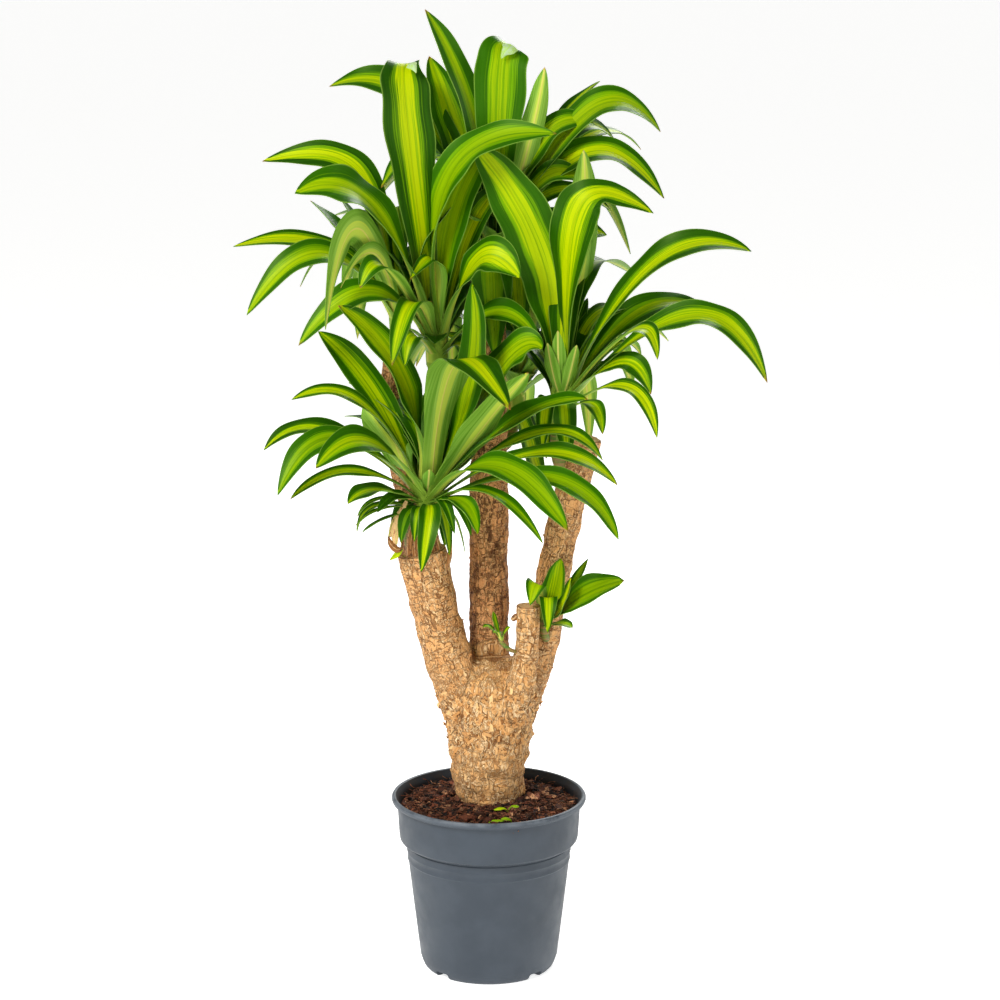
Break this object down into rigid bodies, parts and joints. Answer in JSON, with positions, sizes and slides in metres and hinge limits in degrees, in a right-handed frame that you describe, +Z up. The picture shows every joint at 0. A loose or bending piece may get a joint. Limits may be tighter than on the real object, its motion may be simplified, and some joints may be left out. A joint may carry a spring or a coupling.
{
  "type": "potted corn plant",
  "caption": "Branched corn plant with thick tan canes and heads of long arching striped leaves, rooted in dark potting soil in a tapered grey nursery pot with a banded rim.",
  "frame": {"origin": "middle of the pot's underside, on the ground", "axes": "+Z up the plant, -Y towards the front of the picture, +X to its right"},
  "size_m": [0.631, 0.4889, 1.174],
  "materials": {
    "pot": "matte, moulded",
    "soil": "loose peat and bark chips",
    "bark": "dry flaking bark",
    "leaf": "satin leaf, lime centre stripe"
  },
  "bodies": {
    "root": {"pot": "pot", "soil": "soil", "trunk": "bark", "shoot_low_left": "leaf", "shoot_right": "leaf", "shoot_mid_left": "leaf", "shoot_far_left": "leaf", "shoot_top": "leaf", "shoot_back": "leaf", "shoot_small_right": "leaf", "shoot_tiny": "leaf"}
  },
  "joints": []
}
